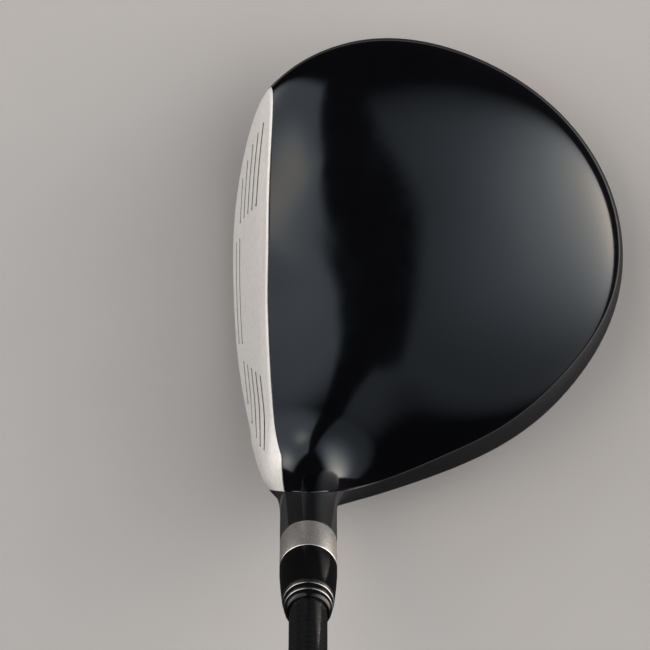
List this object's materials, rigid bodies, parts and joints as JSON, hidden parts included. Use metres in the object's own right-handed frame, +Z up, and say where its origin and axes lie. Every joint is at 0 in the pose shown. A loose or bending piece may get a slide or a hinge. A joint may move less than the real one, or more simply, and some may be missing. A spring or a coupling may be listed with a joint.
{
  "type": "fairway wood",
  "caption": "Golf fairway wood with a hollow pear-shaped head, lofted scored face, indexing hosel sleeve and collar, sole weight, long tapered shaft and rubber grip.",
  "frame": {"origin": "the sole's flat contact patch on the ground, straight below the highest point of the crown, with the club at address", "axes": "+Z up, -Y the way the face looks, +X towards the heel and the player, -X towards the toe; the shaft leans to +X at 57 degrees"},
  "size_m": [0.688, 0.0897, 0.9228],
  "materials": {
    "head_body": "satin dark grey paint on cast steel",
    "crown": "deep gloss black paint",
    "face_plate": "fine heel-to-toe brushed satin steel",
    "hosel": "satin dark grey with a gloss black upper side",
    "weight_bar": "raw cast metal",
    "weight_port": "turned steel",
    "sole_weight": "turned steel",
    "screw": "black oxide",
    "washer": "bright steel",
    "retainer": "matte black nylon",
    "hosel_collar": "bead blasted satin silver",
    "shaft_sleeve": "black anodised",
    "ferrule": "polished black",
    "trim_ring": "bright",
    "shaft": "gloss black lacquer over wound carbon fibre",
    "tip_weight": "turned",
    "grip_tape": "masking tape",
    "grip": "matte moulded rubber",
    "grip_cap": "matte moulded rubber"
  },
  "bodies": {
    "head": {"head_body": "head_body", "crown": "crown", "face_plate": "face_plate", "hosel": "hosel", "weight_bar": "weight_bar", "weight_port": "weight_port"},
    "hosel_bolt": {"hosel_screw": "screw", "screw_washer": "washer", "screw_retainer": "retainer"},
    "collar": {"hosel_collar": "hosel_collar"},
    "shaft_assembly": {"shaft_sleeve": "shaft_sleeve", "ferrule": "ferrule", "ferrule_ring_lower": "trim_ring", "ferrule_ring_upper": "trim_ring", "shaft": "shaft", "tip_weight": "tip_weight", "grip_tape": "grip_tape", "grip": "grip", "grip_cap": "grip_cap"},
    "weight": {"sole_weight": "sole_weight"},
    "weight_bolt": {"sole_weight_screw": "screw"}
  },
  "joints": [
    {"name": "hosel_lift", "type": "slide", "parent": "head", "child": "collar", "axis": [0.5446, 0, 0.8387], "range_m": [0, 0.01]},
    {"name": "sleeve_index", "type": "hinge", "parent": "collar", "child": "shaft_assembly", "pos_m": [0.0238, -0.0159, 0], "axis": [0.5446, 0, 0.8387], "range_deg": [-180, 180]},
    {"name": "hosel_screw_turn", "type": "hinge", "parent": "head", "child": "hosel_bolt", "pos_m": [0.0238, -0.0159, 0], "axis": [-0.5446, 0, -0.8387], "range_deg": [0, 4502]},
    {"name": "weight_slide", "type": "slide", "parent": "head", "child": "weight", "axis": [0, 0, -1], "range_m": [0, 0.01]},
    {"name": "weight_screw_turn", "type": "hinge", "parent": "weight", "child": "weight_bolt", "pos_m": [-0.004, 0.03, 0], "axis": [0, 0, -1], "range_deg": [0, 4502]}
  ],
  "couplings": [
    {"joint": "hosel_screw_turn", "follows": "hosel_lift", "rad_per_m": 7854},
    {"joint": "weight_screw_turn", "follows": "weight_slide", "rad_per_m": 7854}
  ]
}
